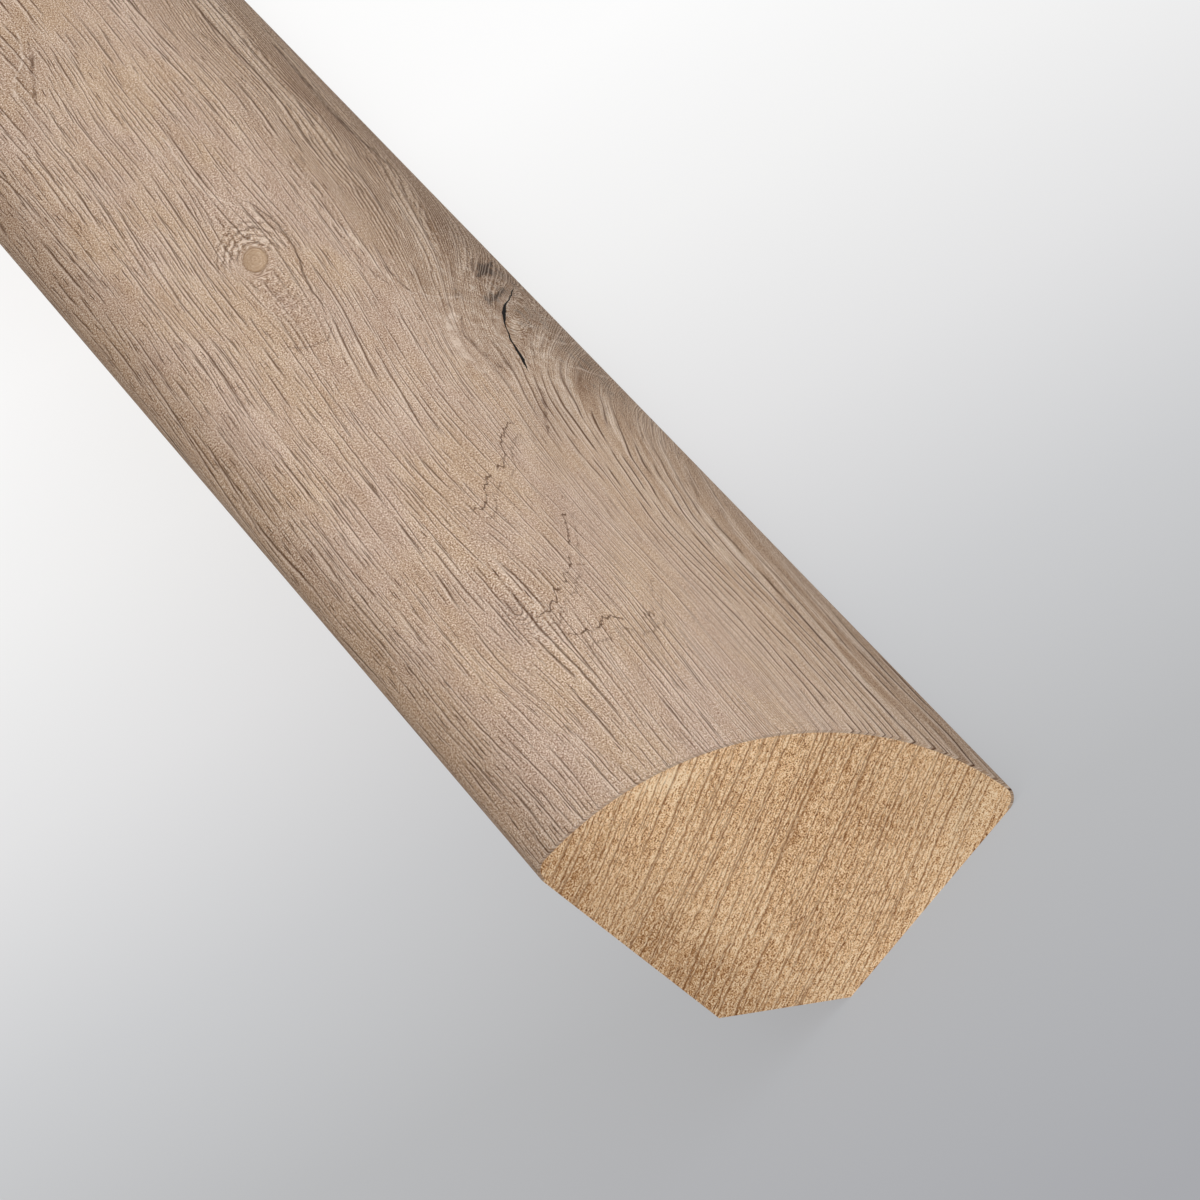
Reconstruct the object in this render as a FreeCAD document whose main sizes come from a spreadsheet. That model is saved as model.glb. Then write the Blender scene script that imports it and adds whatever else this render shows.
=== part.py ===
"""A quarter round floor moulding: a wood core with a printed oak foil wrapped over its round face.

The moulding lies as it does in use, with one flat on the floor and the other against the wall.
X runs out from the wall, Y runs along the stock and Z is up. The origin is on the floor, under
the middle of the section and of the length. Sizes are millimetres.
"""

import FreeCAD, Part
import Sketcher
import math
import os

doc = FreeCAD.newDocument("quarter_round_moulding")

# Driving dimensions
DIMENSIONS = [
    ("leg_width", 19.05, "from the corner to the outermost point of each tip, 3/4 inch"),
    ("stock_length", 2387.6, "length that the moulding is sold in, 94 inches"),
    ("tip_radius", 0.9, "rounding of the two tips, where the round face meets the flats"),
    ("back_bevel", 5.15, "cut back from the corner along each flat, for glue and uneven corners"),
    ("foil_thickness", 0.15, "thickness of the printed foil"),
]
sheet = doc.addObject("Spreadsheet::Sheet", "Dimensions")
for row, (alias, value, meaning) in enumerate(DIMENSIONS, start=1):
    sheet.set(f"A{row}", meaning)
    sheet.set(f"B{row}", str(value))
    sheet.setAlias(f"B{row}", alias)
doc.recompute()


def size(alias):
    """The value of one driving dimension, as a number of millimetres."""
    return float(sheet.get(alias))


def sketch_on_cross_section(body, name):
    """An empty sketch on the body's own XZ plane: across the wall-to-room way and up."""
    sketch = body.newObject("Sketcher::SketchObject", name)
    plane = next(f for f in body.Origin.OriginFeatures if f.Role == "XZ_Plane")
    sketch.AttachmentSupport = [(plane, "")]
    sketch.MapMode = "FlatFace"
    return sketch


def point(x, z):
    return FreeCAD.Vector(x, z, 0)


def line(sketch, start, end):
    return sketch.addGeometry(Part.LineSegment(start, end))


def arc(sketch, centre, radius, start_angle, end_angle):
    """An arc that runs anticlockwise; angles are radians from the sketch's first axis."""
    circle = Part.Circle(centre, FreeCAD.Vector(0, 0, 1), radius)
    return sketch.addGeometry(Part.ArcOfCircle(circle, start_angle, end_angle))


# What a constraint can hold of a sketch element, and the sketch's own level axis and origin
START, END, CENTRE = range(1, 4)
LEVEL_AXIS, ORIGIN = -1, (-1, START)


def join(sketch, first, first_end, second, second_end):
    sketch.addConstraint(
        Sketcher.Constraint("Coincident", first, first_end, second, second_end)
    )


def distance(way, first, first_end, second, second_end, value):
    """A sizing constraint along the sketch's X or Y, from the first point to the second."""
    return Sketcher.Constraint(f"Distance{way}", first, first_end, second, second_end, value)


def make_tangent(sketch, first, first_end, second, second_end):
    sketch.addConstraint(
        Sketcher.Constraint("Tangent", first, first_end, second, second_end)
    )


def drive(sketch, name, constraint, expression):
    """Adds a sizing constraint and binds it to the sheet."""
    index = sketch.addConstraint(constraint)
    sketch.renameConstraint(index, name)
    sketch.setExpression(f"Constraints.{name}", expression)


class RoundFace:
    """Three arcs in a chain: floor tip, round face and wall tip.

    The round face is struck from the corner where floor and wall meet, and each tip arc is tangent
    to it. The tips reach out to the leg width. An inset draws the same chain that far inside the
    finished surface, about the same centres.
    """

    def __init__(self, sketch, inset):
        tip = size("tip_radius")
        reach = size("leg_width") - tip
        corner = point(-size("leg_width") / 2, 0)
        floor_centre = corner + point(reach, tip)
        wall_centre = corner + point(tip, reach)
        face_radius = math.hypot(reach, tip) + tip
        lean = math.atan2(tip, reach)
        square = math.pi / 2
        self.sketch = sketch
        self.floor_tip = arc(sketch, floor_centre, tip - inset, -square, lean)
        self.face = arc(sketch, corner, face_radius - inset, lean, square - lean)
        self.wall_tip = arc(sketch, wall_centre, tip - inset, square - lean, math.pi)
        make_tangent(sketch, self.floor_tip, END, self.face, START)
        make_tangent(sketch, self.face, END, self.wall_tip, START)

    def point_at(self, element, end):
        return self.sketch.getPoint(element, end)

    def place(self, name, element, across, up):
        """Sets the centre of a tip arc from the corner, by two expressions."""
        start = self.sketch.getPoint(self.face, CENTRE)
        offset = self.sketch.getPoint(element, CENTRE) - start
        pair = (self.face, CENTRE, element, CENTRE)
        drive(self.sketch, f"{name}_across", distance("X", *pair, offset.x), across)
        drive(self.sketch, f"{name}_up", distance("Y", *pair, offset.y), up)

    def set_from_sheet(self, inset):
        """Binds the chain to the sheet; the face's radius follows from the tips."""
        half = size("leg_width") / 2
        tip = "Dimensions.tip_radius"
        reach = f"Dimensions.leg_width - {tip}"
        radius = self.sketch.Geometry[self.floor_tip].Radius
        drive(
            self.sketch,
            "corner_across",
            distance("X", self.face, CENTRE, *ORIGIN, half),
            "Dimensions.leg_width / 2",
        )
        self.sketch.addConstraint(
            Sketcher.Constraint("PointOnObject", self.face, CENTRE, LEVEL_AXIS)
        )
        self.place("floor_tip", self.floor_tip, reach, tip)
        self.place("wall_tip", self.wall_tip, tip, reach)
        drive(
            self.sketch,
            "tip_radius",
            Sketcher.Constraint("Radius", self.floor_tip, radius),
            f"{tip} - {inset}",
        )
        # Each tip arc starts square to its flat
        for kind, element, end in (
            ("Vertical", self.floor_tip, START),
            ("Horizontal", self.wall_tip, END),
        ):
            self.sketch.addConstraint(
                Sketcher.Constraint(kind, element, CENTRE, element, end)
            )


def pad_along_stock(body, sketch, name):
    """Extends a section to the full length, half to each side of the middle."""
    pad = body.newObject("PartDesign::Pad", name)
    pad.Profile = sketch
    pad.Type = "Length"
    pad.SideType = "Symmetric"
    pad.setExpression("Length", "Dimensions.stock_length")
    sketch.Visibility = False
    body.Tip = pad
    return pad


def make_wood_core():
    """The milled strip: two flats, a bevelled back corner and a round face set in by the foil."""
    body = doc.addObject("PartDesign::Body", "wood_core")
    body.Label = "wood_core"
    sketch = sketch_on_cross_section(body, "core_section")
    leg = size("leg_width")
    bevel = size("back_bevel")
    round_face = RoundFace(sketch, inset=size("foil_thickness"))
    floor_edge = round_face.point_at(round_face.floor_tip, START)
    wall_edge = round_face.point_at(round_face.wall_tip, END)
    floor_foot = point(floor_edge.x, 0)
    wall_foot = point(-leg / 2, wall_edge.y)
    floor_heel = point(-leg / 2 + bevel, 0)
    wall_heel = point(-leg / 2, bevel)

    wall_step = line(sketch, wall_edge, wall_foot)
    wall_flat = line(sketch, wall_foot, wall_heel)
    back_cut = line(sketch, wall_heel, floor_heel)
    floor_flat = line(sketch, floor_heel, floor_foot)
    floor_step = line(sketch, floor_foot, floor_edge)

    join(sketch, round_face.wall_tip, END, wall_step, START)
    join(sketch, wall_step, END, wall_flat, START)
    join(sketch, wall_flat, END, back_cut, START)
    join(sketch, back_cut, END, floor_flat, START)
    join(sketch, floor_flat, END, floor_step, START)
    join(sketch, floor_step, END, round_face.floor_tip, START)
    for upright in (wall_flat, floor_step):
        sketch.addConstraint(Sketcher.Constraint("Vertical", upright))
    for level in (wall_step, floor_flat):
        sketch.addConstraint(Sketcher.Constraint("Horizontal", level))

    round_face.set_from_sheet("Dimensions.foil_thickness")
    # The flats lie in the floor's and the wall's own planes, which meet at the face's centre
    sketch.addConstraint(
        Sketcher.Constraint("PointOnObject", floor_flat, START, LEVEL_AXIS)
    )
    sketch.addConstraint(
        Sketcher.Constraint("Vertical", wall_flat, END, round_face.face, CENTRE)
    )
    drive(
        sketch,
        "bevel_along_floor",
        distance("X", round_face.face, CENTRE, floor_flat, START, bevel),
        "Dimensions.back_bevel",
    )
    drive(
        sketch,
        "bevel_up_wall",
        distance("Y", round_face.face, CENTRE, wall_flat, END, bevel),
        "Dimensions.back_bevel",
    )
    pad_along_stock(body, sketch, "core_stock")
    return body


def make_decor_foil():
    """The printed foil: it covers the round face and both tips, and ends where the flats begin."""
    body = doc.addObject("PartDesign::Body", "decor_foil")
    body.Label = "decor_foil"
    sketch = sketch_on_cross_section(body, "foil_section")
    outer = RoundFace(sketch, inset=0)
    inner = RoundFace(sketch, inset=size("foil_thickness"))

    floor_end = line(
        sketch,
        inner.point_at(inner.floor_tip, START),
        outer.point_at(outer.floor_tip, START),
    )
    wall_end = line(
        sketch,
        outer.point_at(outer.wall_tip, END),
        inner.point_at(inner.wall_tip, END),
    )
    join(sketch, floor_end, START, inner.floor_tip, START)
    join(sketch, floor_end, END, outer.floor_tip, START)
    join(sketch, wall_end, START, outer.wall_tip, END)
    join(sketch, wall_end, END, inner.wall_tip, END)

    outer.set_from_sheet("0")
    # The inner chain has the same centres, a foil's thickness in
    for inner_arc, outer_arc in (
        (inner.floor_tip, outer.floor_tip),
        (inner.face, outer.face),
        (inner.wall_tip, outer.wall_tip),
    ):
        join(sketch, inner_arc, CENTRE, outer_arc, CENTRE)
    sketch.addConstraint(Sketcher.Constraint("Vertical", floor_end))
    sketch.addConstraint(Sketcher.Constraint("Horizontal", wall_end))
    drive(
        sketch,
        "foil_thickness",
        distance("Y", floor_end, END, floor_end, START, size("foil_thickness")),
        "Dimensions.foil_thickness",
    )
    pad_along_stock(body, sketch, "foil_strip")
    return body


def check_document():
    """Stops the build if any object of the document failed to build."""
    for item in doc.Objects:
        if "Invalid" in item.State or "Error" in item.State:
            raise RuntimeError(f"{item.Name} failed: {item.State}")
        if item.TypeId == "Sketcher::SketchObject" and not item.FullyConstrained:
            raise RuntimeError(f"{item.Name} isn't fully constrained")


def write_parts(bodies):
    """Writes each piece to its own STEP file, and prints its size."""
    os.makedirs("parts", exist_ok=True)
    for body in bodies:
        shape = body.Shape
        if shape.isNull() or not shape.isValid() or len(shape.Solids) != 1:
            raise RuntimeError(f"{body.Label} is not one valid solid")
    for body in bodies:
        shape = body.Shape
        box = shape.BoundBox
        shape.exportStep(f"parts/{body.Label}.step")
        print(
            f"{body.Label}: {box.XLength:.2f} x {box.YLength:.1f} x {box.ZLength:.2f} mm,"
            f" {shape.Volume / 1000:.2f} cm3, faces {len(shape.Faces)}"
        )


pieces = [make_wood_core(), make_decor_foil()]
doc.recompute()
check_document()
write_parts(pieces)
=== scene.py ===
# %% [markdown]
# # Dressing a quarter round floor moulding
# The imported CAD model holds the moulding's two pieces at their real sizes: a milled strip of wood,
# and the printed foil wrapped over its round face. This lesson models both again with finely
# stepped curves, gives each a finish made only of nodes, and sets up the floor, light and camera.
# Everything is in metres, and the moulding lies along Y with one flat on the floor.

import math

import bmesh
import bpy
from mathutils import Matrix, Vector


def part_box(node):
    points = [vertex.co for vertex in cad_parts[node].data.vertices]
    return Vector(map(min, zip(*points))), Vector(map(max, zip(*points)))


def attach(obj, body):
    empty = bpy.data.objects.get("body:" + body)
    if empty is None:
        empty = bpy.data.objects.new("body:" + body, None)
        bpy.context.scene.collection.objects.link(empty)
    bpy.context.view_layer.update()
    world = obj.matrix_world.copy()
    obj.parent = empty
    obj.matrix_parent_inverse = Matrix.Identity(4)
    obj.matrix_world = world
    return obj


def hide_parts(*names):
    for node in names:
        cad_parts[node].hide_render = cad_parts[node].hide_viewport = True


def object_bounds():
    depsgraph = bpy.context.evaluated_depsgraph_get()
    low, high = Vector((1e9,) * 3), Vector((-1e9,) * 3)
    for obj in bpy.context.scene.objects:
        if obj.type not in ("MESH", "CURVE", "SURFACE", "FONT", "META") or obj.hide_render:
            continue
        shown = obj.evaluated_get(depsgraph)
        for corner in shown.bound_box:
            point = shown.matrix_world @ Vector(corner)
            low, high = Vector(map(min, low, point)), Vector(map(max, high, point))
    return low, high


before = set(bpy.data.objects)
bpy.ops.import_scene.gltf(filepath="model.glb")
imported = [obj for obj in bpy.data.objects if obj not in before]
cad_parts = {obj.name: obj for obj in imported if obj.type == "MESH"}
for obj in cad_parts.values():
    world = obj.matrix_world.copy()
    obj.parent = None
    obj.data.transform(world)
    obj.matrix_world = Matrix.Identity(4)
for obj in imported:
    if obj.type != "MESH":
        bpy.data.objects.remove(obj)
cad_low, cad_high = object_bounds()
print("CAD box in mm:", [round(1000 * side, 2) for side in cad_high - cad_low])

# %% [markdown]
# ## Sizes
# The outer sizes are read off the frame, so they can't drift away from the CAD. Only the tip
# rounding and the back bevel have to be written down. The round face is struck from the corner
# where floor and wall meet, and each tip is a small arc tangent to it, so the face's radius and
# the angle where it meets the tips follow from the rest.

# %% Sizes of the section
MM = 0.001
TIP_RADIUS = 0.9 * MM
BACK_BEVEL = 5.15 * MM

wall_x, near_y, floor_z = cad_low
leg = cad_high.z - floor_z
length = cad_high.y - near_y
foil_thickness = cad_high.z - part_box("wood_core")[1].z
reach = leg - TIP_RADIUS
face_radius = math.hypot(reach, TIP_RADIUS) + TIP_RADIUS
lean = math.atan2(TIP_RADIUS, reach)

corner = Vector((wall_x, 0, floor_z))
floor_tip_centre = corner + Vector((reach, 0, TIP_RADIUS))
wall_tip_centre = corner + Vector((TIP_RADIUS, 0, reach))
print(f"leg {leg / MM:.2f}, foil {foil_thickness / MM:.2f}, face radius {face_radius / MM:.3f} mm")

# %% [markdown]
# ## Helpers for edit mode
# Blender's operators act on what is selected. These helpers start a piece from one flat plane,
# pick edges by where they are, and finish the piece with clean outward normals.

# %% Start, pick, spin and finish
TINY = 0.01 * MM


def start_strip(name, middle, across, tilt=0.0):
    """A plane as long as the stock and `across` wide, in place, open in edit mode, all selected."""
    bpy.ops.object.select_all(action="DESELECT")
    bpy.ops.mesh.primitive_plane_add(size=1, location=middle, rotation=(0, tilt, 0))
    strip = bpy.context.object
    strip.name = strip.data.name = name
    strip.scale = (across, length, 1)
    bpy.ops.object.transform_apply(location=True, rotation=True, scale=True)
    bpy.ops.object.mode_set(mode="EDIT")
    return strip


def pick_edges(piece, is_wanted):
    """Selects the edges that have both ends where is_wanted says, and nothing else."""
    bpy.ops.mesh.select_mode(type="EDGE")
    bpy.ops.mesh.select_all(action="DESELECT")
    mesh = bmesh.from_edit_mesh(piece.data)
    for edge in mesh.edges:
        edge.select_set(all(is_wanted(vertex.co) for vertex in edge.verts))
    bmesh.update_edit_mesh(piece.data)


def spin_round(centre, angle, steps):
    """Sweeps the selection about an axis along the stock, from the floor up to the wall."""
    bpy.ops.mesh.spin(steps=steps, angle=angle, center=centre, axis=(0, 1, 0))


def slide(x, z):
    """Extrudes the selection by a step across and up."""
    bpy.ops.mesh.extrude_region_move(TRANSFORM_OT_translate={"value": (x, 0, z)})


# %% [markdown]
# The tips and the face are swept in three spins that follow each other. A quarter of a circle in
# 72 steps keeps each chord within two thousandths of a millimetre of the true arc, so the outline
# stays smooth however close the camera comes.

# %% The three arcs, and the last steps of every piece
TIP_STEPS = 14
FACE_STEPS = 72
STATIONS = 24
SMOOTH_ANGLE = math.radians(25)
QUARTER = math.pi / 2

sag = face_radius * (1 - math.cos((QUARTER - 2 * lean) / FACE_STEPS / 2))
print(f"the face's chords leave the true arc by {sag / MM:.4f} mm at most")


def spin_tip_face_tip():
    spin_round(floor_tip_centre, QUARTER + lean, TIP_STEPS)
    spin_round(corner, QUARTER - 2 * lean, FACE_STEPS)
    spin_round(wall_tip_centre, QUARTER + lean, TIP_STEPS)


def finish_piece(piece):
    """Cuts the long faces into stations, merges doubles, turns faces outward and smooths curves."""
    near, far = near_y + TINY, near_y + length - TINY
    pick_edges(piece, lambda place: True)
    mesh = bmesh.from_edit_mesh(piece.data)
    for edge in mesh.edges:
        start, end = sorted(vertex.co.y for vertex in edge.verts)
        edge.select_set(start < near and end > far)
    bmesh.update_edit_mesh(piece.data)
    bpy.ops.mesh.subdivide(number_cuts=STATIONS - 1)
    bpy.ops.mesh.select_all(action="SELECT")
    bpy.ops.mesh.remove_doubles(threshold=TINY / 10)
    bpy.ops.mesh.normals_make_consistent(inside=False)
    bpy.ops.object.mode_set(mode="OBJECT")
    bpy.ops.object.shade_smooth_by_angle(angle=SMOOTH_ANGLE)
    print(piece.name, len(piece.data.polygons), "faces")


# %% [markdown]
# ## The wood core
# The core is one milled strip: two flats at right angles, a bevel across the back corner and a
# round face set in by the foil's thickness. Here its floor flat is the starting plane. The flat's
# outer edge steps up to the foil's underside, is swept round tip, face and tip, steps out to the
# wall flat and runs down it. The last gap is the bevel, closed with one face, and so are the ends.

# %% Model the core
core = start_strip(
    "bare_wood_core",
    corner + Vector(((BACK_BEVEL + reach) / 2, 0, 0)),
    reach - BACK_BEVEL,
)
pick_edges(core, lambda place: place.x > wall_x + reach - TINY)
slide(0, foil_thickness)
spin_tip_face_tip()
slide(-foil_thickness, 0)
slide(0, BACK_BEVEL - reach)


def is_on_bevel_edge(place):
    by_floor = place.z < floor_z + TINY and place.x < wall_x + BACK_BEVEL + TINY
    by_wall = place.x < wall_x + TINY and place.z < floor_z + BACK_BEVEL + TINY
    return by_floor or by_wall


pick_edges(core, is_on_bevel_edge)
bpy.ops.mesh.edge_face_add()
for end_y in (near_y, near_y + length):
    pick_edges(core, lambda place: abs(place.y - end_y) < TINY)
    bpy.ops.mesh.edge_face_add()
finish_piece(core)

# %% [markdown]
# ## The printed foil
# The foil is one strip of even thickness, so its own cut edge is the starting plane: a plane as
# tall as the foil is thick. The same three spins sweep it over the face as a closed solid.

# %% Model the foil
foil = start_strip(
    "oak_print_foil",
    corner + Vector((reach, 0, foil_thickness / 2)),
    foil_thickness,
    tilt=QUARTER,
)
spin_tip_face_tip()
finish_piece(foil)

# %% [markdown]
# ## Fields: patterns as arithmetic
# A wood pattern is a formula of place: how far along the stock, how far round the section. In
# Blender each plus or times is a Math node, and a long formula is hard to read as a tangle of
# nodes. So a Field stands for one output socket and turns plain Python arithmetic into nodes.


# %% A field is one output socket
class Field:
    """A number that varies over the surface. Arithmetic on it adds Math nodes to its material."""

    def __init__(self, tree, socket):
        self.tree = tree
        self.socket = socket

    def math(self, operation, *others):
        inputs = dict(enumerate((self, *others)))
        return add_node(self.tree, "Math", inputs, operation=operation)

    def __add__(self, other):
        return self.math("ADD", other)

    def __sub__(self, other):
        return self.math("SUBTRACT", other)

    def __rsub__(self, other):
        return self.math("MULTIPLY_ADD", -1.0, other)

    def __mul__(self, other):
        return self.math("MULTIPLY", other)

    def __truediv__(self, other):
        return self.math("DIVIDE", other)

    __radd__ = __add__
    __rmul__ = __mul__


def add_node(tree, kind, inputs, output=0, **options):
    """Adds one shader node, joins or sets its inputs, and returns one of its outputs as a field."""
    node = tree.nodes.new(f"ShaderNode{kind}")
    for name, value in options.items():
        setattr(node, name, value)
    for name, value in inputs.items():
        if isinstance(value, Field):
            tree.links.new(value.socket, node.inputs[name])
        else:
            node.inputs[name].default_value = value
    return Field(tree, node.outputs[output])


# %% [markdown]
# A few more words for the formulas: a smooth step between two values, the larger of two fields, a
# bell that is 1 at a spot and fades round it, and noise. Noise is stretched by dividing each
# coordinate by how long the grain runs that way, in millimetres.


# %% Words for the formulas
def step(field, low, high):
    """0 below low, 1 above high, smooth between; with low above high it falls instead."""
    inputs = {"Value": field, "From Min": low, "From Max": high}
    return add_node(field.tree, "MapRange", inputs, interpolation_type="SMOOTHSTEP")


def larger(field, other):
    return field.math("MAXIMUM", other)


def size_of(field):
    return field.math("ABSOLUTE")


def bell(*offsets):
    """1 where every offset is 0, and fading to nothing where they reach about 2."""
    squares = sum(offset * offset for offset in offsets)
    return (squares * -1.0).math("EXPONENT")


def place_of(x, y, z=0.0):
    return add_node(x.tree, "CombineXYZ", {"X": x, "Y": y, "Z": z}, output="Vector")


def noise(place, detail=0.0, roughness=0.5):
    """Soft noise about 0, mostly within 0.3 of it."""
    inputs = {"Vector": place, "Scale": 1.0, "Detail": detail, "Roughness": roughness}
    return add_node(place.tree, "TexNoise", inputs, output="Fac") - 0.5


def parts_of(vector, kind="SeparateXYZ", source="Vector", names="XY"):
    return [add_node(vector.tree, kind, {source: vector}, output=name) for name in names]


def blend(share, first, second):
    """The first colour where share is 0, the second where it is 1."""
    inputs = {0: share, 6: first, 7: second}
    return add_node(share.tree, "Mix", inputs, output=2, data_type="RGBA")


def darkened(ground, share):
    """A colour made darker by a share, and a little warmer with it."""
    kept = place_of(1.0 - share * 0.92, 1.0 - share, 1.0 - share * 1.08)
    return add_node(share.tree, "VectorMath", {0: ground, 1: kept}, operation="MULTIPLY")


def graded(ground, tone, dark, light):
    """A colour drawn towards dark where tone is below 0, and towards light where it is above."""
    return blend(tone, blend(tone * -1.0, ground, dark), light)


def colour(red, green, blue):
    """A linear colour from the 0 to 255 values that a picture shows it with."""

    def linear(value):
        share = value / 255
        return share / 12.92 if share <= 0.04045 else ((share + 0.055) / 1.055) ** 2.4

    return (linear(red), linear(green), linear(blue), 1.0)


def new_material(name):
    """An empty material, and the moulding's own X, Y and Z on it as fields, in millimetres."""
    material = bpy.data.materials.new(name)
    material.use_nodes = True
    tree = material.node_tree
    tree.nodes.clear()
    place = add_node(tree, "TexCoord", {}, output="Object")
    axes = [axis / MM for axis in parts_of(place, names="XYZ")]
    return material, axes


def finish_surface(material, base, roughness, height, depth, specular):
    """Joins the finish to a Principled shader; height raises bumps of a depth in metres."""
    tree = material.node_tree
    bumps = add_node(tree, "Bump", {"Height": height, "Distance": depth, "Strength": 1.0})
    inputs = {
        "Base Color": base,
        "Roughness": roughness,
        "Normal": bumps,
        "Specular IOR Level": specular,
    }
    shader = add_node(tree, "BsdfPrincipled", inputs)
    output = tree.nodes.new("ShaderNodeOutputMaterial")
    tree.links.new(shader.socket, output.inputs["Surface"])
    print(material.name, len(tree.nodes), "nodes")


# %% [markdown]
# ## Where the print's figure lies
# The print is unrolled into two numbers: millimetres along the stock from its near end, and
# millimetres round the section from the floor. The angle about the corner gives the second one,
# because the round face is struck from there. Knots are written in the same two numbers.


# %% Unroll the face, and measure from a spot
def unroll(axes):
    x, y, z = axes
    out, up = x - wall_x / MM, z - floor_z / MM
    angle = up.math("ARCTAN2", out)
    # Round a tip the surface turns in towards the corner, and that way is across, too
    turned_in = face_radius / MM - (out * out + up * up).math("SQRT")
    side = (angle - QUARTER / 2).math("SIGN")
    return y - near_y / MM, angle * (face_radius / MM) + turned_in * side


def offsets_from(spot, here, before, after, half_width, slant=0.0):
    """Offsets from a spot in shares of its half sizes, which differ before and after its middle."""
    run = here[0] - spot[0]
    rise = here[1] - spot[1] - run * slant
    return larger(run / after, run / -before), rise / half_width


def length_of(offsets):
    return (offsets[0] * offsets[0] + offsets[1] * offsets[1]).math("SQRT")


# %% [markdown]
# ## The flow of the grain
# Most fibres run along the stock. Those near the floor come up over the edge, pass the dark knot
# on a slope and level out towards the near end. The flow field is the across number with that
# climb taken out, so along one fibre it keeps one value, and whatever is drawn in the flow number
# follows the fibres. The climb is a sum, so it can't turn the fibres over: it is added to a power
# of the across number, and the root of the sum brings the spacing back to about even.

# %% The climb past the dark knot
CLIMB = 11.2
CLIMB_AT = 72.0
CLIMB_SPAN = 25.0
LEVEL_FROM = 8.8
CROWDING, CROWDING_ROOT = 1.8, 0.417
TILT = 0.015


def climb(along, across):
    """The flow number that level fibres would have if they bent only by the climb."""
    squared = across * across
    lifted = across + squared * squared / (4 * LEVEL_FROM**3)
    lifted = lifted + ((along - CLIMB_AT) / CLIMB_SPAN).math("TANH") * CLIMB
    crowding = larger(lifted, 0.0) / (4 ** (1 / 3) * LEVEL_FROM)
    crowding = crowding.math("POWER", CROWDING) + 1.0
    return lifted / crowding.math("POWER", CROWDING_ROOT) + along * TILT


# %% [markdown]
# The fibres also part round each knot and close again behind it. Close to a knot's middle the flow
# number changes over to the distance from it, so the lines become rings. The picture shows two
# knots near the end. The long stock has more: one for each length of it, at a random place.

# %% Flow round the knots
# A knot's middle, and its half sizes before, after and across, with its slant
LIGHT_KNOT, LIGHT_SIZE = (87.6, 18.8), (2.1, 2.1, 0.77, -0.16)
DARK_KNOT, DARK_SIZE = (77.9, 5.3), (9.7, 9.7, 1.30, -0.37)
SPARE_SIZE = (4.5, 4.5, 1.5, -0.25)
KNOT_EVERY = 190.0
# Where in each length its knot may lie: the least, and how much beyond that
SPARE_ALONG, SPARE_ACROSS = (40.0, 110.0), (5.0, 20.0)
OFF_THE_STOCK = -500.0

# Where the fibres part: the spot, half sizes and slant as above, and how far they part
PARTINGS = (
    (LIGHT_KNOT, (15, 9, 2.2, -0.06), 1.1),
    (DARK_KNOT, (13, 12, 3.0, -0.36), 1.5),
    ((25.0, 20.8), (10, 16, 3.4), 1.3),
    ((137.0, 22.0), (16, 14, 3.5, -0.2), 0.9),
)
SPARE_PARTING = ((15, 11, 3.2, 0.1), 1.9)
# How far out a knot's rings reach, in shares of its size
RINGS = ((LIGHT_KNOT, LIGHT_SIZE, 1.8), (DARK_KNOT, DARK_SIZE, 1.15))
SPARE_RINGS = (SPARE_SIZE, 1.9)


def further_knot(along):
    """The middle of the knot in this length of the stock. The near end has none of these."""
    cell = (along / KNOT_EVERY).math("FLOOR")
    draw = {"W": cell}
    chance = add_node(along.tree, "TexWhiteNoise", draw, output="Color", noise_dimensions="1D")
    shift, height = parts_of(chance, "SeparateColor", "Color", ("Red", "Green"))
    hidden = step(cell, 0.5, 0.0) * OFF_THE_STOCK
    middle = cell * KNOT_EVERY + shift * SPARE_ALONG[1] + SPARE_ALONG[0] + hidden
    return middle, height * SPARE_ACROSS[1] + SPARE_ACROSS[0]


def mix(share, first, second):
    """The first number where share is 0, the second where it is 1."""
    return first + (second - first) * share


def grain_flow(here, spare_knot):
    """The flow number, and how far out each knot's rings lie in shares of the knot's size."""
    along, across = here
    bent = across + noise(place_of(along / 70, across / 14)) * 1.8
    bent = bent + noise(place_of(along / 14, across / 3.5)) * 0.36
    for spot, sizes, push in (*PARTINGS, (spare_knot, *SPARE_PARTING)):
        offsets = offsets_from(spot, here, *sizes)
        bent = bent - offsets[1] * bell(*offsets) * push
    flow = climb(along, bent)

    ragged = noise(place_of(along / 3.2, across / 1.1, 2.0), detail=2.0) * 0.9
    rings = []
    for spot, size, extent in (*RINGS, (spare_knot, *SPARE_RINGS)):
        ring = length_of(offsets_from(spot, here, *size))
        rings.append(ring)
        level = climb(along * 0.0 + spot[0], along * 0.0 + spot[1])
        ringed = (ring + ragged * 0.4 - extent) * size[2] + level
        flow = mix(step(ring, extent, extent * 0.6), flow, ringed)
    return flow, rings


# %% [markdown]
# ## Pores and fibres
# Oak's pores show as fine dark lines along the grain. A pale line lies on the same side of each,
# partly the lime of limed oak and partly a painted highlight, as of light on the embossed edge. The
# flow number divided by a spacing passes a whole number on every line. Noise sways that number, so
# lines crowd and part as fibres do, and a second noise breaks them into lengths. A Voronoi texture
# scatters the few stronger pores.


# %% Thin lines, and scattered dashes
SWAY = 2.4
HIGHLIGHT_BESIDE = 2.4


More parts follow.
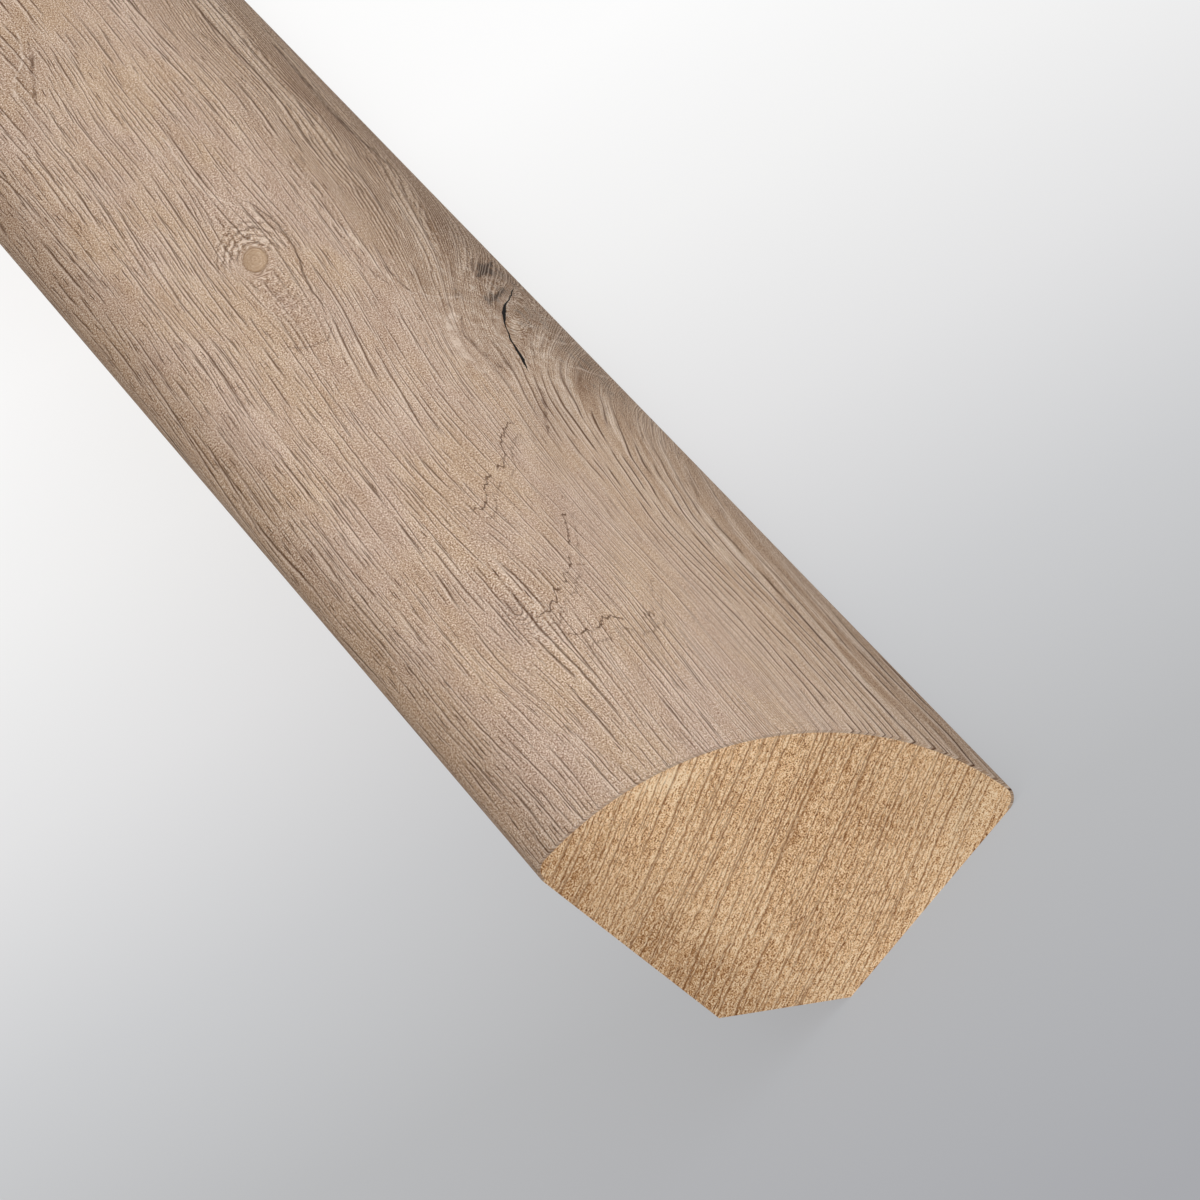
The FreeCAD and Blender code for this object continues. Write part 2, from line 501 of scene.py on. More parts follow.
def fibre_lines(along, flow, run, spacing, half_width, seed, density=0.0, between=None):
    """(dark lines, pale lines beside them that are partly painted highlight) that follow the fibres;
    sizes are millimetres.
    """
    sway = noise(place_of(along / (run * 2.5), flow / (spacing * 4.0), seed)) * SWAY
    turns = flow / spacing + sway
    off = (turns.math("FRACT") - 0.5) * spacing
    # Each line has a number of its own, so it breaks where its neighbours go on
    own_place = place_of(along * 1.6 / run, turns.math("FLOOR") * 3.7, seed + 3.0)
    breaks = noise(own_place) + density
    kept = step(breaks, -0.06, 0.16)
    dark = bell(off / half_width) * kept
    # The pale line on one side of each dark line is partly painted highlight, as of light on a
    # raised edge
    pale = bell((off - half_width * HIGHLIGHT_BESIDE) / half_width) * kept
    if between is not None:
        # Where the fibres spread apart, more lines fill the gaps at half the spacing
        off = ((turns * 2.0).math("FRACT") - 0.5) * (spacing / 2)
        filled = step(breaks, 0.12, -0.02) * between
        dark = larger(dark, bell(off / (half_width * 0.8)) * filled)
        pale = larger(pale, bell((off - half_width * 1.6) / (half_width * 0.8)) * filled)
    return dark, pale


def dashes(along, flow, spacing, half_size):
    """Dashes of a half size in cells of a spacing, and a random number for each one."""
    place = place_of(along / spacing[0], flow / spacing[1])
    inputs = {"Vector": place, "Scale": 1.0, "Randomness": 1.0}
    cells = [
        add_node(place.tree, "TexVoronoi", inputs, output=output, voronoi_dimensions="2D")
        for output in ("Position", "Color")
    ]
    run, rise = (
        (at - middle) * span
        for at, middle, span in zip(parts_of(place), parts_of(cells[0]), spacing)
    )
    chance = parts_of(cells[1], "SeparateColor", "Color", ("Red",))[0]
    return bell(run / half_size[0], rise / half_size[1]), chance


# %% [markdown]
# ## Lines with a place of their own
# The crack, the jagged arches and the pale ridges are single lines. Each is written as a few spots
# that it passes, and a Float Curve node draws a smooth curve through them. A line along the stock
# has its curve over the along number. An arch crosses the fibres, so its curve is over the across
# number. The distance from the curve, with noise added, says where the line is.


# %% Curves through spots
TAPER = 3.0


def curve_through(run, spots):
    """The second number of the spots, as a smooth curve over the first."""
    first, last = spots[0][0], spots[-1][0]
    low, high = min(spot[1] for spot in spots), max(spot[1] for spot in spots)
    share = (run - first) / (last - first)
    curve = add_node(run.tree, "FloatCurve", {"Factor": 1.0, "Value": share})
    mapping = curve.socket.node.mapping
    points = mapping.curves[0].points
    shares = [((at - first) / (last - first), (value - low) / (high - low)) for at, value in spots]
    points[0].location, points[1].location = shares[0], shares[-1]
    for at, value in shares[1:-1]:
        points.new(at, value)
    mapping.update()
    return curve * (high - low) + low


def drawn_line(run, rise, spots, half_width, ragged):
    """A line through (run, rise) spots that tapers at both ends."""
    first, last = spots[0][0], spots[-1][0]
    taper = min(TAPER, (last - first) / 4)
    ends = step(run, first, first + taper) * step(run, last, last - taper)
    off = (rise - curve_through(run, spots) + ragged) / (ends * half_width + 0.001)
    return bell(off * off)


def strongest(marks):
    together = marks[0]
    for mark in marks[1:]:
        together = larger(together, mark)
    return together


# %% [markdown]
# ## Arches of the growth rings
# A plank sawn through the side of a trunk shows each growth ring as a long arch. Its edge is
# jagged, because the pores along it start and stop by fibre: the noise that shifts it changes from
# fibre to fibre. Three arches, each with a fainter echo, and a nest of small ones lie near the
# end. Further along, where the print isn't known, single arches follow at uneven distances.

# %% Jagged arches
ARCHES = (
    ((13.1, 28.1), (14.2, 24.0), (16.5, 19.4), (17.6, 20.9), (18.8, 19.7), (20.9, 23.1)),
    (
        (13.5, 42.4), (14.6, 39.2), (16.2, 32.6), (17.2, 29.4),
        (18.8, 26.5), (20.0, 24.5), (21.5, 25.4),
    ),
    ((12.6, 53.7), (14.6, 50.8), (15.7, 46.9), (17.5, 44.2), (19.1, 40.8), (20.2, 46.5)),
)
ARCH_WIDTH = 0.17
ECHO_BEFORE, ECHO_SHARE = 1.9, 0.5
NEST, NEST_SIZE = (26.4, 21.3), (4.0, 4.0, 1.1)
NEST_RINGS = 5.5
ARCH_JAGS = 2.6
ARCH_AXIS, AXIS_SHIFT = 20.2, 16.0
ARCH_RISE = 0.90
ARCH_EASE = 0.22
FAR_ARCHES_FROM = 175.0
FAR_ARCH_SPACING = 21.0
FAR_ARCH_WANDER = 30.0


def arches(here, flow):
    """(the jagged arch lines, the arch number that broad bands of tone are drawn in)."""
    along, across = here
    shift = noise(place_of(along / 90, 3.1)) * step(along, 60, 140) * AXIS_SHIFT
    off = across - ARCH_AXIS - shift
    arch = along - off * off * ARCH_RISE / (size_of(off) * ARCH_EASE + 1.0)
    jagged = noise(place_of(along / 7, flow / 0.34), detail=1.0, roughness=0.6) * ARCH_JAGS
    lines = [drawn_line(across, along, spots, ARCH_WIDTH, jagged) for spots in ARCHES]
    lines += [
        drawn_line(across, along + ECHO_BEFORE, spots, ARCH_WIDTH, jagged) * ECHO_SHARE
        for spots in ARCHES
    ]
    nest = offsets_from(NEST, here, *NEST_SIZE)
    small = ((length_of(nest) + jagged * 0.06) * NEST_RINGS).math("FRACT") - 0.5
    lines.append(bell(small / 0.16) * bell(*nest) * step(along, NEST[0] + 2, NEST[0] - 1))
    wander = noise(place_of(along / 60, 7.3)) * FAR_ARCH_WANDER
    turns = (arch + jagged + wander) / FAR_ARCH_SPACING
    saw = turns.math("FRACT") * FAR_ARCH_SPACING
    seen = step(noise(place_of(turns.math("FLOOR") * 3.7, 1.3)), -0.10, 0.10)
    far = bell((saw - 2.0) / 0.3) * seen * step(along, FAR_ARCHES_FROM, FAR_ARCHES_FROM + 12)
    broken = step(noise(place_of(along / 2.5, across / 0.9, 9.0)), -0.14, 0.0)
    return larger(strongest(lines), far * 0.7) * broken, arch


# %% [markdown]
# ## The light knot
# The light knot is a small disc, hardly darker than the ground, with a thin brown rim. Wavy pale
# rings spread from it to the far side. Beyond them one long contour sweeps past the knot on the
# floor's side and closes in a tail on the near side: pale at its far end, brown along the knot.

# %% The disc, its rings and its contour
PALE_CONTOUR = (
    (94.5, 16.3), (96.0, 16.8), (98.6, 17.8), (101.8, 18.3),
    (105.7, 18.2), (109.9, 18.0), (113.5, 17.8),
)
BROWN_CONTOUR = ((76.0, 17.6), (81.5, 17.3), (86.0, 16.6), (92.0, 16.1), (95.5, 16.3), (98.8, 17.7))
TAIL = ((17.3, 79.0), (17.8, 75.0), (18.5, 72.6), (19.3, 71.8), (20.3, 72.2), (21.4, 73.8))
NEAR_OVAL, NEAR_OVAL_SIZE = (79.5, 18.9), (5.5, 5.5, 1.4, -0.05)


def light_knot(here, ring, ragged):
    """(disc, brown rim, pale lines, brown lines, oval on the near side) of the light knot."""
    along, across = here
    run = along - LIGHT_KNOT[0]
    squiggle = noise(place_of(along / 1.1, across / 0.40, 2.0), detail=2.0)
    wave = ((ring + squiggle * 0.9) * 11.2 + 2.2).math("SINE")
    far_side = step(run, -1.0, 1.5) * step(ring, 3.9, 2.6) * step(ring, 1.1, 1.4)
    patchy = step(noise(place_of(along / 1.5, across / 0.5, 7.0)), -0.12, 0.04)
    near_side = bell(*offsets_from(NEAR_OVAL, here, *NEAR_OVAL_SIZE))
    ringed = larger(far_side, near_side * 0.40)
    pale = step(wave, 0.30, 0.95) * ringed * patchy * 0.85
    brown = step(wave, -0.3, -1.0) * ringed * 0.75
    pale = larger(pale, drawn_line(along, across, PALE_CONTOUR, 0.07, ragged) * 0.7)
    brown = larger(brown, drawn_line(along, across, BROWN_CONTOUR, 0.06, ragged))
    brown = larger(brown, drawn_line(across, along, TAIL, 0.15, ragged * 3.0) * 0.5)
    return step(ring, 1.0, 0.88), bell((ring - 0.95) / 0.10), pale, brown, near_side


# %% [markdown]
# ## The dark knot
# The dark knot has a long black crack, thick in two places. Pale bands and rays curve round it,
# small brown spots lie beside it and a nearly black patch lies by the edge behind it.

# %% Its crack, bands and spots
CRACK = (
    (62.4, 9.5), (65.3, 9.0), (70.2, 8.3), (74.8, 7.2), (77.0, 6.5), (81.8, 4.5), (86.5, 2.6),
)
CRACK_WIDTH = 0.040
# Where along the stock the crack is thicker, over what span and by how much
CRACK_BULGES = ((76.2, 2.0, 0.09), (65.6, 3.0, 0.07))
PALE_ALONG = (
    ((61.0, 12.0), (65.0, 12.5), (68.5, 12.2), (71.5, 11.5), (75.0, 10.2)),
    ((78.6, 12.5), (82.5, 12.7), (87.0, 12.6), (93.0, 12.9)),
    ((50.0, 9.4), (54.0, 9.0), (57.0, 9.2), (62.0, 9.7)),
    ((88.0, 9.4), (94.0, 8.6), (100.0, 8.4), (108.0, 7.9)),
    ((125.0, 23.3), (129.4, 23.0), (133.1, 21.3), (139.0, 20.2)),
)
PALE_WIDTHS = (0.30, 0.16, 0.07, 0.10, 0.10)
PALE_OVER = (
    ((8.6, 79.0), (9.6, 77.2), (10.5, 76.8), (11.7, 77.2), (12.6, 79.0)),
    ((0.4, 80.0), (2.5, 75.2), (4.5, 72.9), (5.9, 72.3), (7.0, 72.2)),
    ((1.2, 79.6), (2.8, 76.2), (4.0, 75.2), (5.0, 77.4)),
    ((0.8, 72.0), (2.5, 69.0), (4.5, 67.4), (6.2, 66.8)),
)
OVER_WIDTH = 0.22
BROWN_ALONG = (
    ((76.4, 11.6), (78.4, 12.2), (80.4, 12.3), (84.0, 12.2)),
    ((50.0, 12.1), (53.2, 11.3), (57.2, 10.2), (60.5, 9.6)),
    ((66.0, 11.4), (69.0, 11.4), (71.0, 11.0), (74.0, 10.0)),
    ((124.0, 22.8), (129.9, 21.5), (133.0, 20.7), (136.5, 20.1)),
    ((82.0, 6.2), (85.0, 5.9), (87.0, 5.4), (90.0, 4.2)),
    ((78.0, 12.8), (81.0, 13.2), (84.0, 13.35), (87.0, 13.25), (91.5, 12.9)),
    ((107.0, 3.5), (112.0, 4.1), (118.0, 4.6), (128.6, 4.1), (137.0, 3.5)),
)
BROWN_WIDTHS = (0.10, 0.14, 0.09, 0.14, 0.14, 0.06, 0.30)
SPOTS = (
    (63.3, 11.0), (63.9, 10.4), (67.8, 11.3), (65.4, 11.2), (76.6, 7.3), (77.6, 6.9), (75.5, 10.6),
)
SPOT_SIZE = (0.8, 0.8, 0.17)


def dark_knot(here, ragged, mottle):
    """(crack, pale lines, brown lines) of the dark knot and the print round it."""
    along, across = here
    bulges = [bell((along - at) / span) * more for at, span, more in CRACK_BULGES]
    crack = drawn_line(along, across, CRACK, sum(bulges) + CRACK_WIDTH, ragged * 0.7)
    pale = [
        drawn_line(along, across, spots, width, ragged)
        for spots, width in zip(PALE_ALONG, PALE_WIDTHS)
    ]
    pale += [drawn_line(across, along, spots, OVER_WIDTH, ragged * 3.0) for spots in PALE_OVER]
    brown = [
        drawn_line(along, across, spots, width, ragged)
        for spots, width in zip(BROWN_ALONG, BROWN_WIDTHS)
    ]
    brown += [bell(*offsets_from(spot, here, *SPOT_SIZE)) for spot in SPOTS]
    textured = step(mottle, -0.10, 0.10) * 0.8 + 0.2
    return step(crack, 0.0, 0.6), strongest(pale) * textured, strongest(brown) * textured


# %% [markdown]
# ## The print's ground
# The ground is an even pinkish beige, yellower in patches and towards the floor, and browner at
# both edges, partly in the print and partly as painted shade where the face rounds away. Round the
# knots it turns brown and nearly black in cloudy patches, each written as a spot, its half sizes and
# how strong it is. Two black strokes fan out beside the crack.

# %% The ground's colours and patches
GROUND_PINK = colour(190, 163, 143)
GROUND_YELLOW = colour(192, 163, 135)
# The browner edges: partly the print, partly painted shade
EDGE_BROWN_AND_SHADE = colour(178, 150, 123)
KNOT_TAN = colour(186, 156, 124)
KNOT_BROWN = colour(126, 95, 66)
KNOT_BLACK = colour(50, 36, 27)
BROWN_PATCHES = (
    ((81.0, 4.0), (15, 16, 5.0, -0.20), 0.60),
    ((95.0, 4.0), (6, 7, 2.2, -0.20), 0.62),
    ((66.0, 10.4), (4.5, 6.5, 1.3, -0.1), 0.55),
    ((55.5, 10.4), (6, 6, 1.5, -0.25), 0.45),
    ((79.6, 10.8), (3.5, 5, 1.0, -0.1), 0.35),
    ((132.0, 21.6), (7, 6, 1.2, -0.22), 0.30),
)
BLACK_PATCHES = (
    ((87.2, 4.4), (2.2, 2.6, 0.75, -0.4), 1.35),
    ((88.5, 2.6), (4.0, 5.0, 1.6, -0.2), 0.68),
    ((82.5, 4.6), (3.0, 3.0, 1.2, -0.4), 0.62),
    ((78.8, 6.8), (2.2, 2.2, 0.6, -0.4), 0.95),
    ((78.0, 9.2), (1.6, 2.2, 0.7, -0.2), 0.70),
    ((77.5, 4.8), (4.5, 4.5, 1.9, -0.4), 0.60),
    ((71.0, 3.2), (15, 13, 2.8, -0.1), 0.57),
)
BLACK_STROKES = (
    ((82.4, 6.5), (84.5, 5.7), (88.3, 3.9), (92.5, 2.0)),
    ((78.4, 6.9), (80.2, 5.9), (84.2, 4.1)),
)
STROKE_WIDTH, STROKE_SHARE = 0.18, 1.2


def cloudy(here, patches):
    """How strongly each of the patches colours a place."""
    return [bell(*offsets_from(spot, here, *sizes)) * share for spot, sizes, share in patches]


def print_ground(here, spare_ring, mottle):
    """(the ground's colour, how nearly black it is burnt round the dark knot)."""
    along, across = here
    patches = noise(place_of(along / 13, across / 4.0, 31.0), detail=3.0)
    yellow = larger(step(patches, -0.14, 0.14), step(across, 15.0, 8.0))
    ground = blend(yellow, GROUND_PINK, GROUND_YELLOW)
    # Browner at both edges: partly print, partly painted shade where the face rounds away
    edge = larger(step(across, 9.0, 2.0), step(across, 26.5, 29.5))
    ground = blend(edge * 0.7, ground, EDGE_BROWN_AND_SHADE)
    cloud = patches * 1.5 + mottle * 4.0 + 1.0
    brown = cloudy(here, BROWN_PATCHES)
    brown.append(bell(spare_ring / 1.3) * 0.8)
    black = cloudy(here, BLACK_PATCHES)
    black += [
        drawn_line(along, across, spots, STROKE_WIDTH, mottle) * STROKE_SHARE
        for spots in BLACK_STROKES
    ]
    ground = blend(strongest(brown) * cloud, ground, KNOT_BROWN)
    return ground, step(strongest(black) + mottle * 2.2, 0.30, 1.10)


def edge_shade_and_tone(here):
    """How much darker the print is: by the floor and by the wall partly its own darker edges and
    partly painted shade where the face rounds away; a little past the dark knot.
    """
    along, across = here
    beyond = step(along, 30.0, 100.0)
    # Darker by the floor and by the wall: partly the print's own edges, partly painted shade where
    # the face rounds away
    low = step(across + beyond * -3.0, 12.0, -3.5) * (beyond * 0.12 + 0.30)
    return low + step(across, 25.0, 29.4) * 0.30 + step(along, 50, 110) * 0.05


# %% [markdown]
# ## The oak print
# The layers go on from broad to fine: the ground's tone, pale lines, dark lines, then the knots.
# The bump is shallow, because the foil is only lightly embossed.

# %% Put the print together
PORE_BROWN = colour(80, 50, 30)
# Lime in the print, and the painted highlight beside each dark line
LIME_AND_HIGHLIGHT_WHITE = colour(234, 215, 198)
TONE_BROWN = colour(112, 78, 54)
TONE_WHITE = colour(244, 228, 212)
CRACK_BLACK = colour(14, 9, 7)
PRINT_ROUGHNESS, PRINT_GLOSS = 0.65, 0.02
EMBOSS_DEPTH = 0.02 * MM

# How far lines run, how far apart they are and half their width, in millimetres
FINE_LINES = (7.0, 0.26, 0.030)
LONG_LINES = (14.0, 0.55, 0.037)
BOLD_LINES = (9.0, 1.10, 0.105)
PORE_CELL, PORE_HALF_SIZE = (4.5, 0.50), (1.1, 0.030)
KNOTTY_SPOT, KNOTTY_SIZE = (80.0, 5.0), (18, 18, 5.5, -0.2)


def near_edge(here, high, low):
    """How near a place is to the floor's edge of the print; nothing by the stock's near end."""
    return step(here[1], high, low) * step(here[0], 15.0, 35.0)


def print_tones(here, flow, arch, mottle):
    """(tone about 0, slow streaks, broad bands, how near the dark knot)."""
    along, across = here
    grit = noise(place_of(along / 0.22, flow / 0.070), detail=1.0, roughness=0.8)
    fibre = noise(place_of(along / 6.0, flow / 0.28), detail=1.0, roughness=0.6)
    streak = noise(place_of(along / 26, flow / 1.0))
    broad = noise(place_of(along / 110, flow / 4.5), detail=2.0)
    bands = noise(place_of(arch / 6.0, 5.0)) * step(across, 9.0, 13.0)
    by_floor = step(across, 11.0, 6.5)
    streak = streak * (by_floor * 1.2 + 1.0)
    knotty = bell(*offsets_from(KNOTTY_SPOT, here, *KNOTTY_SIZE))
    by_edge = near_edge(here, 6.5, 2.0)
    coarse = (fibre * 0.50 + streak * 0.35) * (1.0 - by_edge * 0.55)
    tone = grit * (knotty + by_edge * 1.2 + 4.6) + coarse * (by_floor * 0.8 + 1.0) + broad * 0.20
    tone = tone + bands * 0.25 + mottle * knotty * 5.0 - 0.02
    return tone, streak, broad, knotty


def print_fibres(here, flow, streak, broad):
    """(pale lines, dark lines) of the whole print; the pale lines are partly lime and partly painted
    highlight.
    """
    along, across = here
    by_floor = step(across, 14.5, 10.0)
    rough = flow + noise(place_of(along / 2.0, flow / 0.5, 11.0)) * 0.07
    density = streak * 0.40 + broad * 0.25
    spread = step(across, 14.0, 9.0) * step(along, 50.0, 75.0)
    wavy = rough + noise(place_of(along / 5.0, flow / 1.5, 12.0)) * 0.45
    fine = fibre_lines(along, rough, *FINE_LINES, 1.0, density + 0.02, between=spread)
    fine_dark, fine_pale_and_highlight = fine
    long_dark, long_pale_and_highlight = fibre_lines(along, rough, *LONG_LINES, 6.0, density + 0.03)
    bold_dark, bold_pale_and_highlight = fibre_lines(along, wavy, *BOLD_LINES, 9.0, density + 0.14)
    pores, chance = dashes(along, rough, PORE_CELL, PORE_HALF_SIZE)
    by_edge = near_edge(here, 8.0, 2.5)
    near_floor = by_floor * step(along, 85.0, 55.0) * (1.0 - by_edge * 0.9)
    thinned = 1.0 - near_floor * 0.45 - by_edge * 0.30
    by_wall = step(across, 22.0, 27.0)
    share = broad * 0.6 + streak * 0.5 + larger(by_wall * 0.60, by_floor * 0.20) + 0.18
    pores = step(pores, 0.30, 0.8) * step(share - chance, 0.0, 0.12)
    # Pale lines beside the dark ones: partly lime, partly painted highlight
    pale = strongest([fine_pale_and_highlight * 0.46, long_pale_and_highlight * 0.56, bold_pale_and_highlight * near_floor * 0.5])
    dark = larger(larger(fine_dark * 0.80, long_dark * 0.88) * thinned, bold_dark * near_floor)
    dark = larger(dark, pores * 0.95)
    return pale, dark


def oak_print():
    material, axes = new_material("limed oak print")
    here = unroll(axes)
    along, across = here
    spare_knot = further_knot(along)
    flow, (light_ring, dark_ring, spare_ring) = grain_flow(here, spare_knot)
    arch_lines, arch = arches(here, flow)
    mottle = noise(place_of(along / 1.8, across / 0.55, 17.0), detail=3.0, roughness=0.75)
    tone, streak, broad, knotty = print_tones(here, flow, arch, mottle)
    pale, dark = print_fibres(here, flow, streak, broad)
    dark = dark * (1.0 - knotty * 0.45)
    ragged = noise(place_of(along / 1.8, across / 0.8, 4.0), detail=2.0) * 0.35
    disc, rim, pale_rings, brown_rings, oval = light_knot(here, light_ring, ragged)
    crack, pale_bands, brown_marks = dark_knot(here, ragged, mottle)

    near_disc = step(light_ring, 2.6, 1.4) * 0.6
    quiet = 1.0 - strongest([near_disc, oval * 0.65, step(dark_ring, 0.8, 0.3) * 0.7])
    ground, burnt = print_ground(here, spare_ring, mottle)
    ground = graded(ground, tone, TONE_BROWN, TONE_WHITE)
    ground = blend(burnt * 0.88, ground, KNOT_BLACK)
    # Pale lines beside the pores: partly lime, partly painted highlight
    ground = blend(pale * quiet, ground, LIME_AND_HIGHLIGHT_WHITE)
    ground = blend(larger(pale_bands * 0.60, pale_rings * 0.75), ground, LIME_AND_HIGHLIGHT_WHITE)
    ground = blend(dark * quiet, ground, PORE_BROWN)
    brown = strongest([arch_lines * 0.8, brown_rings * 0.7, brown_marks * 0.7])
    ground = blend(brown, ground, PORE_BROWN)
    ground = blend(disc * 0.6, ground, KNOT_TAN)
    shaded = step(across - LIGHT_KNOT[1] + (along - LIGHT_KNOT[0]) * 0.3, -0.4, 0.9)
    ground = blend(larger(rim * 0.6, disc * shaded * 0.35), ground, KNOT_BROWN)
    ground = blend(crack, ground, CRACK_BLACK)
    # Painted shade at both edges of the face, together with the print's darker edges and tone
    ground = darkened(ground, edge_shade_and_tone(here))
    embossed = noise(place_of(along / 1.5, across / 0.12))
    finish_surface(material, ground, PRINT_ROUGHNESS, embossed, EMBOSS_DEPTH, PRINT_GLOSS)
    return material


# %% [markdown]
# ## The bare wood
# The core is cut from another, golden wood. Its growth rings cross the section at a slant, and
# the fibres run along the stock. One solid pattern in X, Y and Z gives slanting stripes on the
# cut ends and long straight grain on the flats, as a real strip of wood shows. The saw left short
# woolly fibre ends on the cut, so the end is rough and full of small dark dashes.

# %% The core's finish
RING_SLANT = math.radians(17)
WOOD_GOLD = colour(229, 183, 134)
WOOD_PALE = colour(240, 203, 158)
WOOD_DARK = colour(206, 158, 109)
WOOL_BROWN = colour(124, 78, 42)
WOOL_WHITE = colour(254, 228, 192)
WOOD_ROUGHNESS, WOOD_GLOSS = 0.85, 0.08
SAWN_DEPTH = 0.03 * MM
# Runs, spacings and half widths, as for the print
RING_LINES = (16.0, 0.80, 0.050)
WOOD_FIBRES = (6.0, 0.24, 0.034)
PALE_PATCH, PALE_PATCH_SIZE = (8.2, 16.4), (1.6, 1.6, 0.7, -0.5)


def bare_wood():
    material, (x, y, z) = new_material("bare golden wood")
    x = x - wall_x / MM
    with_ring = x * math.cos(RING_SLANT) + z * math.sin(RING_SLANT)
    through_ring = z * math.cos(RING_SLANT) - x * math.sin(RING_SLANT)
    through_ring = through_ring + noise(place_of(with_ring / 13, through_ring / 8, y / 300)) * 0.9
    wavy = noise(place_of(with_ring / 0.6, through_ring / 0.4, y / 30), detail=1.0) * 0.16
    line_place = through_ring + wavy
    bands = noise(place_of(with_ring / 18, through_ring / 1.2, y / 220), detail=2.0)
    patches = noise(place_of(x / 6, z / 5, y / 160), detail=1.0)
    wool = noise(place_of(with_ring / 0.28, line_place / 0.09, y / 10))
    grit = noise(place_of(x / 0.085, z / 0.085, y / 6), detail=1.0, roughness=0.8)

    ring_dark, ring_pale_and_highlight = fibre_lines(with_ring, line_place, *RING_LINES, y / 60, 0.05)
    fine_dark, fine_pale_and_highlight = fibre_lines(with_ring, line_place, *WOOD_FIBRES, y / 25 + 5.0, 0.06)
    shade = patches * 0.45 + bands * 0.7 - step(x, 6.0, 0.0) * 0.22
    ground = blend(step(shade, -0.30, 0.02), WOOD_DARK, WOOD_GOLD)
    ground = blend(step(shade, 0.08, 0.30), ground, WOOD_PALE)
    pale_patch = bell(*offsets_from(PALE_PATCH, (x, z), *PALE_PATCH_SIZE))
    pale_patch = pale_patch * (patches * 2.0 + 0.8)
    tone = wool * 2.1 + grit * 5.8 + patches * 0.6 + pale_patch * 0.9 + 0.04
    ground = graded(ground, tone, WOOL_BROWN, WOOL_WHITE)
    # The pale lines beside the dark ones are partly painted highlight
    ground = blend(larger(ring_pale_and_highlight * 0.30, fine_pale_and_highlight * 0.35), ground, WOOL_WHITE)
    dark = larger(ring_dark * 0.95, fine_dark * 0.80) * step(grit, -0.22, 0.12)
    ground = blend(dark, ground, WOOL_BROWN)
    ground = darkened(ground, step(x, 7.0, -1.0) * 0.22 + step(x, 11.5, 18.0) * 0.11)
    sawn = noise(place_of(x / 0.12, z / 0.12, y / 6))
    finish_surface(material, ground, WOOD_ROUGHNESS, sawn, SAWN_DEPTH, WOOD_GLOSS)
    return material


# %% Put the finishes on
def dress(piece, material, node):
    piece.data.materials.clear()
    piece.data.materials.append(material)
    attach(piece, "root")
    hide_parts(node)


dress(foil, oak_print(), "decor_foil")
dress(core, bare_wood(), "wood_core")

# %% [markdown]
# ## Floor, light and camera
# The floor is pale, with painted shade that greys it towards the near end, as light falls off on a
# studio background. The painted shade fades out beyond what the camera sees of the floor, and the
# floor itself reaches far beyond the stock, for the views from a distance. The floor also glows with
# its own colour for most of its brightness, a painted light that keeps the object's shadow faint. An
# even sky lights every side, and one soft sun from above gives the round face its shading. Together
# they light a surface that faces up at about one, so a colour renders about as it is written.

# %% The floor
FLOOR_SIZE = 240.0
FLOOR_GLOW = 0.78
SHADE_WAY = math.radians(231)
PALE_FLOOR = colour(246, 246, 247)
# The middle of the floor that is seen, out from the wall and along the stock, and the distances
# from it between which the painted shade fades out, in millimetres
SEEN_FLOOR = (8, 60)
FLOOR_FADE = (135, 240)
# Millimetres along the way in which painted shade turns the floor grey, and the shade there
SHADE_STOPS = (
    (-128, 255, 255, 255),
    (-104, 253, 253, 253),
    (-81, 243, 243, 243),
    (-58, 228, 228, 229),
    (-34, 205, 206, 208),
    (-11, 186, 187, 189),
    (24, 169, 170, 174),
)


def pale_floor():
    material, axes = new_material("pale studio floor")
    tree = material.node_tree
    x, y = axes[0] - wall_x / MM, axes[1] - near_y / MM
    way = x * math.cos(SHADE_WAY) + y * math.sin(SHADE_WAY)
    first, last = SHADE_STOPS[0][0], SHADE_STOPS[-1][0]
    ramp = tree.nodes.new("ShaderNodeValToRGB")
    tree.links.new(((way - first) / (last - first)).socket, ramp.inputs["Fac"])
    elements = ramp.color_ramp.elements
    for stop, *shade in SHADE_STOPS[1:-1]:
        elements.new((stop - first) / (last - first)).color = colour(*shade)
    elements[0].color = colour(*SHADE_STOPS[0][1:])
    elements[-1].color = colour(*SHADE_STOPS[-1][1:])
    away = length_of((x - SEEN_FLOOR[0], y - SEEN_FLOOR[1]))
    # The painted shade, faded out to the pale floor away from the seen middle
    shade = blend(step(away, *FLOOR_FADE), Field(tree, ramp.outputs["Color"]), PALE_FLOOR)
    lit = add_node(tree, "BsdfDiffuse", {"Color": shade})
    # Most of the floor's brightness is this glow, a painted light that keeps the object's shadow
    # faint
    glow = add_node(tree, "Emission", {"Color": shade, "Strength": 1.0})
    both = add_node(tree, "MixShader", {0: FLOOR_GLOW, 1: lit, 2: glow})
    output = tree.nodes.new("ShaderNodeOutputMaterial")
    tree.links.new(both.socket, output.inputs["Surface"])
    return material


